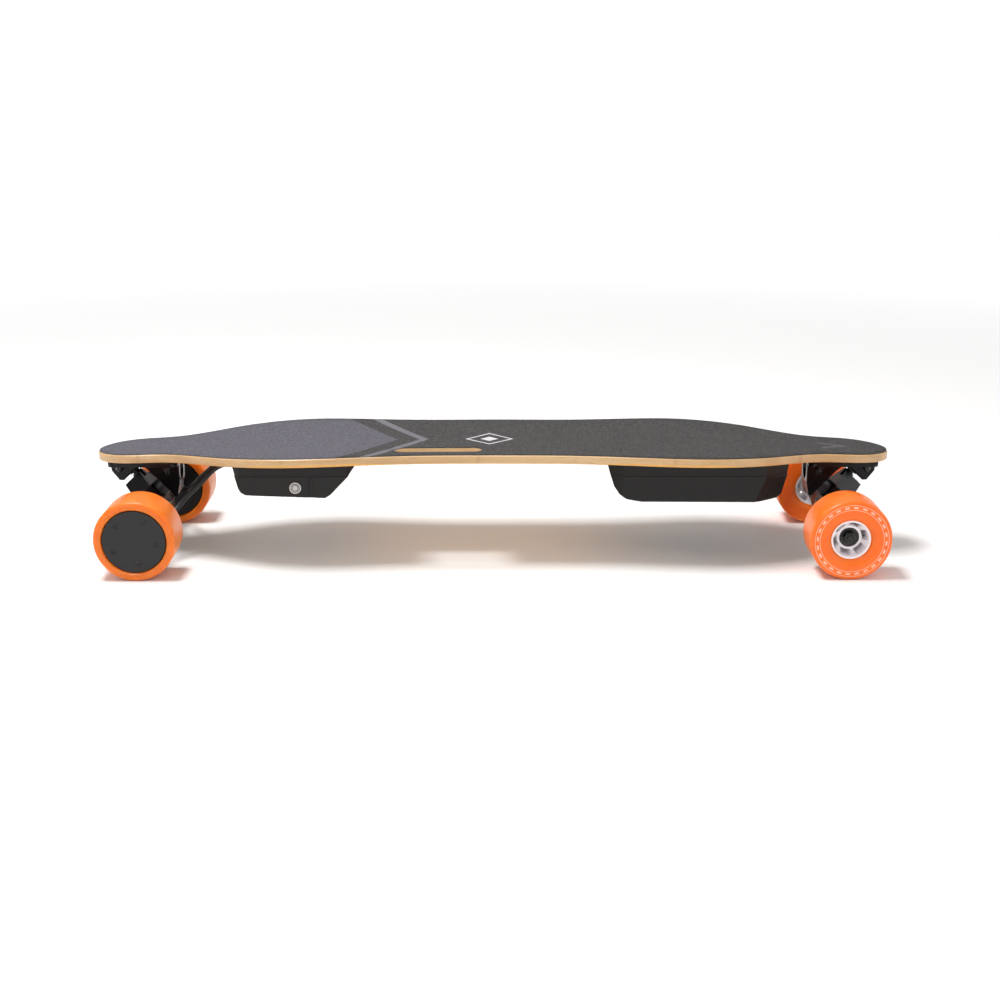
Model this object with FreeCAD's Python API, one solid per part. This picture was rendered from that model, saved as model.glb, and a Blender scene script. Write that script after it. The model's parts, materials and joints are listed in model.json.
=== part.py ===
import FreeCAD, Part
import math
import os

# Electric skateboard: a cambered maple deck on two sprung trucks.
# Millimetres, +Z up, +X towards the nose, the ground at z = 0, the origin midway between the axles.

V = FreeCAD.Vector
UP = V(0, 0, 1)
ACROSS = V(0, 1, 0)

# ---- driving dimensions ----
WHEELBASE = 786.0
WHEEL_RADIUS = 45.0

DECK_THICKNESS = 9.6
DECK_TOP = 127.2          # wood surface, centre line, mid board
CAMBER_RADIUS = 9200.0
CONCAVE = 3.2             # rise of the wood from the centre line to the waist edge
WAIST_HALF_WIDTH = 89.0
DISH_RADIUS = WAIST_HALF_WIDTH ** 2 / (2 * CONCAVE)
CAMBER_HALF_ANGLE = 3.1   # degrees of camber arc kept each way, more than the deck needs
EDGE_EASE = 1.1           # eased corner all round the deck
GRIP_THICKNESS = 0.9
GRIP_INSET = 1.0
# quarter outline, from the nose tip back to the waist: distance from mid board, half width
OUTLINE = [(458, 0), (452, 19), (428, 36.5), (400, 41.3), (375, 44), (350, 53.4), (300, 81),
           (255, 96.5), (210, 101.3), (165, 97.5), (100, 90.3), (0, WAIST_HALF_WIDTH)]
OUTLINE_SPANS = 8
HANDLE_CENTRE = (-62.0, -57.0)
HANDLE_LENGTH = 97.0
HANDLE_WIDTH = 23.0

STEER_RAKE = math.radians(47.0)   # steering axis above the ground plane
AXLE_OFFSET = 13.0                # axle centre to steering axis
KINGPIN_STEP = 15.5               # kingpin, measured up the steering axis
RING_HALF = 5.0
SEAT_OFFSET = 17.0                # bushing seat to steering axis
KINGPIN_RADIUS = 4.9
HOOK_FACE = 51.2                  # open face of the pivot housing, up the steering axis
CUP_RADIUS = 6.2
PIVOT_RADIUS = 4.5
HANGER_END = 94.3                 # half length of the front hanger
REAR_HANGER_END = 84.0
PLATE_BOTTOM = 101.0
PLATE_THICKNESS = 4.5
PLATE_BACK = -29.5
PLATE_FRONT = 51.5
PLATE_HALF_WIDTH = 28.0
BOLT_PITCH_LONG = 54.0
BOLT_PITCH_ACROSS = 41.3
BOLT_RADIUS = 2.4
BOLT_HEAD_RADIUS = 4.7
BOLT_HEAD_DEPTH = 2.9
BOLT_COVER = 0.3                  # bolt heads lie this far under the grip sheet
BOLT_HOLE_RADIUS = 2.6
NUT_SINK_RADIUS = 5.4

AXLE_RADIUS = 4.0
FRONT_WHEEL_INNER = 85.4
FRONT_WHEEL_OUTER = 135.3
FRONT_TYRE_LIP = 4.2
BEARING_OUTER_FACE = 119.4
BEARING_WIDTH = 7.0
BEARING_SPAN = 24.0
BEARING_RADIUS = 11.0
CORE_FACE_RADIUS = 21.8
CORE_BURIED_RADIUS = 27.0
CORE_RIM_INNER = 19.8
CORE_HUB_RADIUS = 13.4
CORE_WINDOWS = 6
WINDOW_ANGLE = 41.0
WINDOW_START = 13.5
CORE_INNER_RECESS = 3.0
CORE_OUTER_RECESS = 5.0

REAR_WHEEL_INNER = 86.4
REAR_WHEEL_OUTER = 137.7
CAP_RADIUS = 35.3
MOTOR_AXLE_RADIUS = 6.0
MOTOR_SLOTS = 12
MOTOR_POLES = 14
CAP_SCREWS = 5
CAP_SCREW_CIRCLE = 25.1
CAP_SCREW_START = 27.0    # degrees
CAP_INSET = 0.6
REAR_SLEEVE_LIP = 4.0
CAN_START = 92.0
CAN_END = 133.0
CAN_INNER = 31.0
MAGNET_INNER = 28.4
STATOR_RADIUS = 27.6
STACK_START = 98.0
STACK_END = 127.0
MOTOR_BEARING_RADIUS = 12.0
MOTOR_BEARING_WIDTH = 6.0
INNER_BEARING_START = 88.6
OUTER_BEARING_START = 127.5

FIT = 0.04                # radial running clearance
SEAL = 1.0                # gasket thickness between deck and boxes
WALL = 2.6                # box wall

POST_RADIUS = 4.6         # screw posts inside the boxes
SCREW_RADIUS = 2.0
SCREW_HEAD_RADIUS = 3.8
SCREW_SINK = 4.0          # depth of the screw seats in the box floors
BATTERY_BOTTOM = 71.5
ESC_BOTTOM = 76.5
SIDE_HALF = 71.0          # half width of both boxes at the deck
BOX_DRAFT = 2.5           # the walls lean in by this much between the band and the foot level
FOOT_LEVEL = 60.0
BAND_LEVEL = 101.0        # step between the set back upper band and the drafted lower part
BAND_STEP = 0.8
BUTTON_X = -222.8
BUTTON_Z = 88.3
BUTTON_FACE = 69.9
BEZEL_RADIUS = 6.75
PORT_X = -250.0
PORT_Z = 88.3
PORT_FACE = 69.8
PORT_RADIUS = 6.0
PORT_FLANGE_RADIUS = 8.0
PORT_PLUG_RADIUS = 4.0
PORT_DEPTH = 9.0
PORT_RIM = 1.75
PORT_FLOOR = 2.0
CABLE_RADIUS = 3.0
# ---- helpers ----
def turn(points):
    """Solid turned about the axle: points are (distance from the axle, position along Y)."""
    wire = Part.makePolygon([V(r, y, 0) for r, y in points + points[:1]])
    solid = Part.Face(wire).revolve(V(0, 0, 0), ACROSS, 360)
    return solid.translated(V(0, 0, WHEEL_RADIUS))


def tube(outer, inner, start, end):
    """Plain ring about the axle."""
    length = end - start
    base = V(0, start, WHEEL_RADIUS)
    ring = Part.makeCylinder(outer, length, base, ACROSS)
    if inner > 0:
        ring = ring.cut(Part.makeCylinder(inner, length, base, ACROSS))
    return ring


def around(shape, count, start=0.0):
    """Copies of a shape spread evenly about the axle."""
    centre = V(0, 0, WHEEL_RADIUS)
    return [shape.rotated(centre, ACROSS, start + 360.0 * i / count) for i in range(count)]


def fuse(shapes):
    shapes = list(shapes)
    return shapes[0].multiFuse(shapes[1:]).removeSplitter()


def box(x0, x1, y0, y1, z0, z1):
    return Part.makeBox(x1 - x0, y1 - y0, z1 - z0, V(x0, y0, z0))


def side_prism(points, half_width):
    """Solid with the given (x, z) outline, centred on the board's mid plane."""
    wire = Part.makePolygon([V(x, -half_width, z) for x, z in points + points[:1]])
    return Part.Face(wire).extrude(ACROSS * (2 * half_width))


def slot_prism(centre, length, width, z0, z1):
    x, y = centre
    half = (length - width) / 2.0
    ends = [Part.makeCylinder(width / 2.0, z1 - z0, V(x + s * half, y, z0)) for s in (-1, 1)]
    return fuse(ends + [box(x - half, x + half, y - width / 2.0, y + width / 2.0, z0, z1)])


def hexagon(across_flats, height, base, direction):
    radius = across_flats / math.sqrt(3.0)
    corners = [V(radius * math.cos(math.radians(60 * i)), radius * math.sin(math.radians(60 * i)), 0)
               for i in range(7)]
    solid = Part.Face(Part.makePolygon(corners)).extrude(UP * height)
    turned = FreeCAD.Placement(base, FreeCAD.Rotation(UP, direction))
    return solid.transformGeometry(turned.toMatrix())


def round_edges(shape, radius, wanted):
    edges = [edge for edge in shape.Edges if wanted(edge)]
    return shape.makeFillet(radius, edges) if edges else shape


def is_upright(edge):
    box_of = edge.BoundBox
    return box_of.ZLength > 2 and box_of.XLength < 0.01 and box_of.YLength < 0.01


def write(name, shape):
    solids = shape if isinstance(shape, list) else [shape]
    pieces = [solid for one in solids for solid in one.Solids]
    out = pieces[0] if len(pieces) == 1 else Part.makeCompound(pieces)
    if not out.isValid():
        print("invalid shape:", name)
    out.exportStep("parts/%s.step" % name)


# ---- deck ----
def edge_rise(y):
    """Rise of the deck from its centre line to y: an arc across the board."""
    return DISH_RADIUS - math.sqrt(DISH_RADIUS ** 2 - y * y)


def wood_top(x, y):
    return DECK_TOP - CAMBER_RADIUS + math.sqrt((CAMBER_RADIUS + edge_rise(y)) ** 2 - x * x)


def curved_block(drop, height):
    """Block whose lower face is the wood's top surface moved down by drop."""
    half = 120.0
    lines = []
    for level in (DECK_TOP - drop, DECK_TOP - drop + height):
        lines.append([V(0, y, level + edge_rise(y)) for y in (-half, 0, half)])
    low, high = lines
    section = Part.Wire([Part.Arc(*low).toShape(), Part.makeLine(low[-1], high[-1]),
                         Part.Arc(*high).toShape(), Part.makeLine(low[0], high[0])])
    centre = V(0, 0, DECK_TOP - CAMBER_RADIUS)
    face = Part.Face(section).rotated(centre, ACROSS, -CAMBER_HALF_ANGLE)
    return face.revolve(centre, ACROSS, 2 * CAMBER_HALF_ANGLE)


def outline_block(inset):
    quarter = [(x - inset * (x > 440), max(half - inset, 0)) for x, half in OUTLINE]
    nose_right = [V(x, -half, 80) for x, half in quarter]
    tail_right = [V(-p.x, p.y, 80) for p in reversed(nose_right[:-1])]
    tail_left = [V(-p.x, -p.y, 80) for p in nose_right[1:-1]]
    nose_left = [V(p.x, -p.y, 80) for p in reversed(nose_right[1:])]
    curve = Part.BSplineCurve()
    curve.interpolate(nose_right + tail_right + tail_left + nose_left, PeriodicFlag=True)
    first, span = curve.FirstParameter, (curve.LastParameter - curve.FirstParameter) / OUTLINE_SPANS
    edges = []
    for i in range(OUTLINE_SPANS):
        piece = curve.copy()
        piece.segment(first + span * i, first + span * (i + 1))
        edges.append(piece.toShape())
    return Part.Face(Part.Wire(edges)).extrude(UP * 80)


def bolt_places():
    """Truck bolts: the eight (x, y) places on the board."""
    middle = (PLATE_BACK + PLATE_FRONT) / 2.0
    places = []
    for end in (-1, 1):
        for along in (-BOLT_PITCH_LONG / 2.0, BOLT_PITCH_LONG / 2.0):
            for side in (-BOLT_PITCH_ACROSS / 2.0, BOLT_PITCH_ACROSS / 2.0):
                places.append((end * (WHEELBASE / 2.0 + middle + along), side))
    return places


def truck_bolt(x, y, clearance):
    """Countersunk bolt, its head just under the grip sheet."""
    top = wood_top(x, y) - BOLT_COVER
    bottom = PLATE_BOTTOM - 7.0
    shank = Part.makeCylinder(BOLT_RADIUS + clearance, top - bottom, V(x, y, bottom))
    head = Part.makeCone(BOLT_RADIUS + clearance, BOLT_HEAD_RADIUS + clearance, BOLT_HEAD_DEPTH,
                         V(x, y, top - BOLT_HEAD_DEPTH))
    return shank.fuse(head)


def deck_parts():
    under = curved_block(DECK_THICKNESS, 60)
    wood = curved_block(DECK_THICKNESS, DECK_THICKNESS).common(outline_block(0))
    rim = [edge for edge in wood.Edges if edge.BoundBox.ZLength < 9 and edge.Length > 20]
    wood = wood.makeChamfer(EDGE_EASE, rim)
    wood = wood.cut(slot_prism(HANDLE_CENTRE, HANDLE_LENGTH, HANDLE_WIDTH, 90, 160))
    for x, y in bolt_places():
        wood = wood.cut(truck_bolt(x, y, FIT))
        sink = Part.makeCylinder(BOLT_HEAD_RADIUS + FIT, 10, V(x, y, wood_top(x, y) - BOLT_COVER))
        wood = wood.cut(sink)
    grip = curved_block(0, GRIP_THICKNESS).common(outline_block(GRIP_INSET))
    grip = grip.cut(slot_prism(HANDLE_CENTRE, HANDLE_LENGTH + 2, HANDLE_WIDTH + 2, 90, 160))
    return wood, grip, under


# ---- trucks: built about x = 0 with the nose side outboard, then placed at both ends ----
STEER = V(math.cos(STEER_RAKE), 0, math.sin(STEER_RAKE))
OUT = V(math.sin(STEER_RAKE), 0, -math.cos(STEER_RAKE))
AXLE = V(0, 0, WHEEL_RADIUS)
STEER_FOOT = AXLE - OUT * AXLE_OFFSET
KINGPIN = STEER_FOOT + STEER * KINGPIN_STEP

SEAT_WASHER = 1.5
BUSHING_RADIUS = 10.5
CONE_BUSHING_TOP = 9.3
CONE_BUSHING_TIP = 8.0
CONE_BUSHING_LENGTH = 9.5
NUT_ACROSS_FLATS = 14.3
NUT_HEIGHT = 7.0
NUT_FACE = RING_HALF + CONE_BUSHING_LENGTH + SEAT_WASHER


def on_truck(along, out):
    """Point in the truck's mid plane: distance up the steering axis, then outwards from it."""
    return STEER_FOOT + STEER * along + OUT * out


def pair(point):
    return (point.x, point.z)


def kingpin_rod(radius, start, end):
    return Part.makeCylinder(radius, end - start, KINGPIN + OUT * start, OUT)


def base_plate():
    plate = box(PLATE_BACK, PLATE_FRONT, -PLATE_HALF_WIDTH, PLATE_HALF_WIDTH,
                PLATE_BOTTOM, PLATE_BOTTOM + PLATE_THICKNESS)
    plate = round_edges(plate, 9.0, is_upright)
    seat_low = on_truck(KINGPIN_STEP - 18.0, -SEAT_OFFSET)
    seat_high = on_truck(KINGPIN_STEP + 22.0, -SEAT_OFFSET)
    top = PLATE_BOTTOM + 1.0
    heel = [(PLATE_BACK, top), (PLATE_BACK, 80.0), (seat_low.x - 3.0, seat_low.z + 1.5),
            pair(seat_low), pair(seat_high), (15.0, top)]
    heel = round_edges(side_prism(heel, 16.0), 2.5, lambda edge: edge.BoundBox.YLength > 31)
    hook = [pair(on_truck(HOOK_FACE, -8.6)), pair(on_truck(HOOK_FACE, 15.0)),
            pair(on_truck(HOOK_FACE + 3.5, 18.5)), (PLATE_FRONT - 1.5, 92.5), (PLATE_FRONT - 0.5, top),
            (22.0, top)]
    hook = round_edges(side_prism(hook, 11.0), 2.0, lambda edge: edge.BoundBox.YLength < 20)
    solid = fuse([plate, heel, hook])
    solid = solid.cut(Part.makeCylinder(CUP_RADIUS, 12.0, on_truck(HOOK_FACE - 1.0, 0), STEER))
    solid = solid.cut(kingpin_rod(KINGPIN_RADIUS, -60.0, -10.0))
    solid = solid.cut(kingpin_rod(9.5, -60.0, -25.0))
    solid = solid.common(box(-60, 60, -40, 40, 0, PLATE_BOTTOM + PLATE_THICKNESS))
    pocket = box(PLATE_BACK + 5, 8, -11, 11, PLATE_BOTTOM - 2.0, PLATE_BOTTOM + 20)
    solid = solid.cut(pocket)
    for x, y in bolt_places():
        if x > 0:
            here = V(x - WHEELBASE / 2.0, y, PLATE_BOTTOM)
            solid = solid.cut(Part.makeCylinder(BOLT_HOLE_RADIUS, 40, here - UP * 20))
            solid = solid.cut(Part.makeCylinder(NUT_SINK_RADIUS, 12, here - UP * 12))
    return solid


def pivot_cup():
    cup = Part.makeCylinder(CUP_RADIUS - FIT, 10.8, on_truck(HOOK_FACE - 0.8, 0), STEER)
    flange = Part.makeCylinder(CUP_RADIUS + 1.2, 1.0, on_truck(HOOK_FACE - 1.4, 0), STEER)
    cup = cup.fuse(flange)
    bore = Part.makeCylinder(PIVOT_RADIUS + FIT, 6.0, on_truck(HOOK_FACE - 2.0, 0), STEER)
    ball = Part.makeSphere(PIVOT_RADIUS + FIT, on_truck(HOOK_FACE + 4.0, 0))
    return cup.cut(bore.fuse(ball))


def kingpin():
    rod = kingpin_rod(KINGPIN_RADIUS - FIT, -29.0, NUT_FACE + NUT_HEIGHT + 2.0)
    head = hexagon(15.0, 4.0, KINGPIN - OUT * 29.0, OUT)
    return rod.fuse(head)


def kingpin_nut():
    nut = hexagon(NUT_ACROSS_FLATS, NUT_HEIGHT, KINGPIN + OUT * (NUT_FACE + 0.05), OUT)
    cone = Part.makeCone(NUT_ACROSS_FLATS / 2.0 + 1.6, 6.0, NUT_HEIGHT, KINGPIN + OUT * (NUT_FACE + 0.05),
                         OUT)
    return nut.common(cone.fuse(kingpin_rod(8.6, NUT_FACE, NUT_FACE + 4.5))).cut(
        kingpin_rod(KINGPIN_RADIUS, NUT_FACE - 1, NUT_FACE + NUT_HEIGHT + 3))


def cupped_washer(radius, inward, outward):
    disc = kingpin_rod(radius, inward, outward)
    return disc.cut(kingpin_rod(KINGPIN_RADIUS, inward - 1, outward + 1))


def bushing_washers():
    return [cupped_washer(12.0, -SEAT_OFFSET + 0.05, -SEAT_OFFSET + SEAT_WASHER),
            cupped_washer(9.6, NUT_FACE - SEAT_WASHER, NUT_FACE)]


def boardside_bushing():
    start = -SEAT_OFFSET + SEAT_WASHER + 0.05
    barrel = kingpin_rod(BUSHING_RADIUS, start, -RING_HALF - 0.05)
    barrel = barrel.makeFillet(1.0, [edge for edge in barrel.Edges if edge.Length > 50])
    return barrel.cut(kingpin_rod(KINGPIN_RADIUS + 0.05, start - 1, -RING_HALF + 1))


def roadside_bushing():
    start = RING_HALF + 0.05
    cone = Part.makeCone(CONE_BUSHING_TOP, CONE_BUSHING_TIP, CONE_BUSHING_LENGTH - 0.1,
                         KINGPIN + OUT * start, OUT)
    return cone.cut(kingpin_rod(KINGPIN_RADIUS + 0.05, start - 1, NUT_FACE))


def hanger(end):
    arm_root = 14.5
    half_middle = 24.0
    half = [(0, 0), (arm_root, 0), (arm_root, half_middle), (12.0, half_middle + 18), (10.0, end - 16),
            (10.0, end - 1.0), (9.0, end), (0, end)]
    arms = [turn(half), turn([(r, -y) for r, y in half])]
    ring = kingpin_rod(17.5, -RING_HALF, RING_HALF)
    web = []
    for along, width, outward in ((2.0, 21.0, 13.0), (26.0, 19.5, 19.0), (HOOK_FACE - 5.0, 8.0, 18.5)):
        low, high = on_truck(along, -RING_HALF), on_truck(along, outward)
        web.append(Part.makePolygon([low - ACROSS * width, low + ACROSS * width,
                                     high + ACROSS * width, high - ACROSS * width, low - ACROSS * width]))
    yoke = Part.makeLoft(web, True, True)
    rib = [pair(on_truck(-3.0, -RING_HALF)), pair(on_truck(-14.0, 8.0)), pair(on_truck(-14.0, 20.0)),
           pair(on_truck(2.0, 27.0)), pair(on_truck(13.0, 20.0)), pair(on_truck(16.0, RING_HALF))]
    rib = round_edges(side_prism(rib, 24.0), 3.0, lambda edge: edge.BoundBox.YLength > 47)
    nose = Part.makeCylinder(PIVOT_RADIUS + 2.2, 10.0, on_truck(HOOK_FACE - 13.0, 0), STEER)
    pin = Part.makeCylinder(PIVOT_RADIUS, 12.0, on_truck(HOOK_FACE - 8.0, 0), STEER)
    ball = Part.makeSphere(PIVOT_RADIUS, on_truck(HOOK_FACE + 4.0, 0))
    solid = fuse(arms + [ring, yoke, rib, nose, pin, ball])
    nut_room = [pair(on_truck(KINGPIN_STEP - 9.7, RING_HALF)), pair(on_truck(KINGPIN_STEP - 9.7, 50.0)),
                pair(on_truck(KINGPIN_STEP + 13.0, 50.0)), pair(on_truck(KINGPIN_STEP + 13.0, RING_HALF))]
    solid = solid.cut(side_prism(nut_room, 15.5))
    solid = solid.cut(kingpin_rod(KINGPIN_RADIUS + 1.6, -40, 40))
    return solid


def placed(shape, end):
    """Truck shape moved to the nose (end = 1) or turned round and moved to the tail (end = -1)."""
    if end < 0:
        shape = shape.rotated(V(0, 0, 0), UP, 180)
    return shape.translated(V(end * WHEELBASE / 2.0, 0, 0))


def riser_pad(end, above_wood_bottom):
    pad = box(PLATE_BACK + 0.5, PLATE_FRONT - 0.5, -PLATE_HALF_WIDTH + 0.5, PLATE_HALF_WIDTH - 0.5,
              PLATE_BOTTOM + PLATE_THICKNESS, 125)
    pad = placed(round_edges(pad, 9.0, is_upright), end).cut(above_wood_bottom)
    for x, y in bolt_places():
        pad = pad.cut(Part.makeCylinder(BOLT_HOLE_RADIUS, 60, V(x, y, 90)))
    return pad


def trucks(above_wood_bottom):
    for end, word, half_length in ((1, "front", HANGER_END), (-1, "rear", REAR_HANGER_END)):
        bore = AXLE_RADIUS if end > 0 else MOTOR_AXLE_RADIUS
        body = hanger(half_length).cut(tube(bore, 0, -half_length - 5, half_length + 5))
        write(word + "_hanger", placed(body, end))
        write(word + "_baseplate", placed(base_plate(), end))
        write(word + "_pivot_cup", placed(pivot_cup(), end))
        write(word + "_boardside_bushing", placed(boardside_bushing(), end))
        write(word + "_roadside_bushing", placed(roadside_bushing(), end))
        write(word + "_riser_pad", riser_pad(end, above_wood_bottom))
    write("kingpins", [placed(kingpin(), end) for end in (1, -1)])
    write("kingpin_nuts", [placed(kingpin_nut(), end) for end in (1, -1)])
    write("bushing_washers", [placed(washer, end) for end in (1, -1) for washer in bushing_washers()])
    write("truck_bolts", [truck_bolt(x, y, 0) for x, y in bolt_places()])
    nuts = []
    for x, y in bolt_places():
        nut = hexagon(7.9, 4.4, V(x, y, PLATE_BOTTOM - 4.45), UP)
        nuts.append(nut.cut(Part.makeCylinder(BOLT_RADIUS + 0.02, 20, V(x, y, PLATE_BOTTOM - 10))))
    write("truck_nuts", nuts)


# ---- bearings ----
BALL_SHARE = 0.27         # ball radius as a share of the space between bore and outside
SHIELD_SHARE = 0.36
LAND_SHARE = 0.33


def bearing_outer(start, width, bore, radius):
    """Outer ring with its two shields, and the balls."""
    ball = (radius - bore) * BALL_SHARE
    pitch = (radius + bore) / 2.0 + 0.3
    ring = tube(radius - 0.02, pitch + ball + 0.05, start, start + width)
    shields = [tube(pitch + ball + 0.06, bore + (radius - bore) * SHIELD_SHARE, y, y + 0.5)
               for y in (start + 0.3, start + width - 0.8)]
    centre = V(pitch, start + width / 2.0, WHEEL_RADIUS)
    return [fuse([ring] + shields)] + around(Part.makeSphere(ball - 0.02, centre), 7)


def bearing_inner(start, width, bore, radius):
    ball = (radius - bore) * BALL_SHARE
    pitch = (radius + bore) / 2.0 + 0.3
    inner_land = min(pitch - ball - 0.05, bore + (radius - bore) * LAND_SHARE)
    return tube(inner_land, bore + 0.02, start, start + width)


# ---- front wheels ----
def wheel_side(shape, side):
    """Wheel shapes are built on the left (+Y) and turned round for the right."""
    return shape if side > 0 else shape.rotated(V(0, 0, 0), UP, 180)


def front_tyre():
    inner, outer = FRONT_WHEEL_INNER, FRONT_WHEEL_OUTER
    lip = FRONT_TYRE_LIP
    profile = [(CORE_FACE_RADIUS, inner + CORE_INNER_RECESS), (CORE_FACE_RADIUS + 3.0, inner + 0.8),
               (CORE_FACE_RADIUS + 6.5, inner)]
    steps = 6
    for i in range(steps + 1):
        angle = math.radians(90.0 * i / steps)
        profile.append((WHEEL_RADIUS - lip + lip * math.sin(angle), inner + lip - lip * math.cos(angle)))
    for i in range(steps + 1):
        angle = math.radians(90.0 * i / steps)
        profile.append((WHEEL_RADIUS - lip + lip * math.cos(angle), outer - lip + lip * math.sin(angle)))
    profile += [(CORE_FACE_RADIUS + 7.5, outer), (CORE_FACE_RADIUS + 3.0, outer - 1.8),
                (CORE_FACE_RADIUS, outer - CORE_OUTER_RECESS)]
    profile += [(CORE_FACE_RADIUS, outer - 9.0), (CORE_BURIED_RADIUS, outer - 12.0),
                (CORE_BURIED_RADIUS, inner + 12.0), (CORE_FACE_RADIUS, inner + 9.0)]
    return turn(profile)


def core_window():
    """One through window of the core: a ring sector with rounded corners."""
    low, high = CORE_HUB_RADIUS + 0.5, CORE_RIM_INNER - 0.5
    start = V(0, 60, WHEEL_RADIUS)
    ring = tube(high, low, 60, 160)
    reach = high * math.tan(math.radians(WINDOW_ANGLE / 2.0))
    near = low * math.tan(math.radians(WINDOW_ANGLE / 2.0))
    corners = [(low - 2.0, -near), (high + 2.0, -reach), (high + 2.0, reach), (low - 2.0, near)]
    wedge = Part.Face(Part.makePolygon([V(x, start.y, start.z + z) for x, z in corners + corners[:1]]))
    sector = ring.common(wedge.extrude(ACROSS * 100))
    return round_edges(sector, 1.3, lambda edge: edge.BoundBox.YLength > 90)


def front_core():
    inner, outer = FRONT_WHEEL_INNER + CORE_INNER_RECESS, FRONT_WHEEL_OUTER - CORE_OUTER_RECESS
    skin = CORE_FACE_RADIUS - 0.01
    buried = CORE_BURIED_RADIUS - 0.01
    low_bearing = BEARING_OUTER_FACE - BEARING_SPAN
    face_step = 2.2
    solid = turn([(8.0, low_bearing), (CORE_HUB_RADIUS, low_bearing - 0.8),
                  (CORE_HUB_RADIUS + 0.8, low_bearing + 0.4), (CORE_RIM_INNER - 0.6, inner + face_step),
                  (CORE_RIM_INNER, inner + 0.6), (CORE_RIM_INNER + 0.6, inner), (skin, inner),
                  (skin, inner + 6.02), (buried, inner + 9.02), (buried, outer - 7.02),
                  (skin, outer - 4.02), (skin, outer), (CORE_RIM_INNER + 0.6, outer),
                  (CORE_RIM_INNER, outer - 0.6), (CORE_RIM_INNER - 0.6, outer - face_step),
                  (CORE_HUB_RADIUS + 0.8, BEARING_OUTER_FACE - 0.4),
                  (CORE_HUB_RADIUS, BEARING_OUTER_FACE + 0.8), (8.0, BEARING_OUTER_FACE)])
    for window in around(core_window(), CORE_WINDOWS, WINDOW_START):
        solid = solid.cut(window)
    for start, end in ((low_bearing - 1, low_bearing + BEARING_WIDTH),
                       (BEARING_OUTER_FACE - BEARING_WIDTH, BEARING_OUTER_FACE + 1)):
        solid = solid.cut(tube(BEARING_RADIUS, 0, start, end))
    return solid


def front_wheels():
    low_bearing = BEARING_OUTER_FACE - BEARING_SPAN
    starts = (low_bearing, BEARING_OUTER_FACE - BEARING_WIDTH)
    inner_rings, spacers, washers, nuts = [], [], [], []
    for side, word in ((1, "left"), (-1, "right")):
        name = "front_%s_" % word
        write(name + "tyre", placed(wheel_side(front_tyre(), side), 1))
        write(name + "core", placed(wheel_side(front_core(), side), 1))
        outer = [solid for start in starts
                 for solid in bearing_outer(start, BEARING_WIDTH, AXLE_RADIUS, BEARING_RADIUS)]
        write(name + "bearings", [placed(wheel_side(solid, side), 1) for solid in outer])
        inner_rings += [wheel_side(bearing_inner(start, BEARING_WIDTH, AXLE_RADIUS, BEARING_RADIUS), side)
                        for start in starts]
        spacers.append(wheel_side(tube(5.6, AXLE_RADIUS + 0.05, low_bearing + BEARING_WIDTH + 0.02,
                                       BEARING_OUTER_FACE - BEARING_WIDTH - 0.02), side))
        washers += [wheel_side(tube(5.8, AXLE_RADIUS + 0.05, y + 0.02, y + 0.98), side)
                    for y in (low_bearing - 1.0, BEARING_OUTER_FACE)]
        nut = hexagon(12.6, 6.2, V(0, BEARING_OUTER_FACE + 1.0, WHEEL_RADIUS), ACROSS)
        nut = nut.common(Part.makeCone(7.4, 5.4, 7.0, V(0, BEARING_OUTER_FACE + 0.8, WHEEL_RADIUS), ACROSS)
                         .fuse(tube(7.2, 0, BEARING_OUTER_FACE + 0.8, BEARING_OUTER_FACE + 5.2)))
        nuts.append(wheel_side(nut.cut(tube(AXLE_RADIUS + 0.02, 0, 100, 140)), side))
    write("front_bearing_inner_rings", [placed(solid, 1) for solid in inner_rings])
    write("front_bearing_spacers", [placed(solid, 1) for solid in spacers])
    write("front_speed_washers", [placed(solid, 1) for solid in washers])
    write("front_axle_nuts", [placed(solid, 1) for solid in nuts])
    end = BEARING_OUTER_FACE + 8.6
    axle = turn([(0, -end), (AXLE_RADIUS - 0.7, -end), (AXLE_RADIUS - 0.02, -end + 0.8),
                 (AXLE_RADIUS - 0.02, end - 0.8), (AXLE_RADIUS - 0.7, end), (0, end)])
    write("front_axle", placed(axle, 1))


# ---- rear hub motors ----
def rear_sleeve():
    inner, outer = REAR_WHEEL_INNER, REAR_WHEEL_OUTER
    lip = REAR_SLEEVE_LIP
    profile = [(CAP_RADIUS + 0.4, inner + 2.0), (CAP_RADIUS + 1.6, inner)]
    steps = 6
    for i in range(steps + 1):
        angle = math.radians(90.0 * i / steps)
        profile.append((WHEEL_RADIUS - lip + lip * math.sin(angle), inner + lip - lip * math.cos(angle)))
    for i in range(steps + 1):
        angle = math.radians(90.0 * i / steps)
        profile.append((WHEEL_RADIUS - lip + lip * math.cos(angle), outer - lip + lip * math.sin(angle)))
    profile += [(CAP_RADIUS + 1.6, outer), (CAP_RADIUS + 0.4, outer - 1.4)]
    return turn(profile)


def rotor_can():
    can = tube(CAP_RADIUS + 0.38, CAN_INNER, CAN_START, CAN_END)
    lands = [tube(CAN_INNER + 0.5, CAN_INNER - 3.0, CAN_START, CAN_START + 3.0),
             tube(CAN_INNER + 0.5, CAP_SCREW_CIRCLE - 4.0, CAN_END - 3.0, CAN_END)]
    solid = fuse([can] + lands)
    hole = Part.makeCylinder(1.5, 10, V(CAP_SCREW_CIRCLE, CAN_END - 5, WHEEL_RADIUS), ACROSS)
    for cut in around(hole, CAP_SCREWS, CAP_SCREW_START):
        solid = solid.cut(cut)
    return solid


def magnets():
    arc = 360.0 / MOTOR_POLES - 3.0
    length = STACK_END - STACK_START
    start = V(0, STACK_START, WHEEL_RADIUS)
    outer = Part.makeCylinder(CAN_INNER - 0.02, length, start, ACROSS, arc)
    return around(outer.cut(Part.makeCylinder(MAGNET_INNER, length, start, ACROSS)), MOTOR_POLES)


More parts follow.
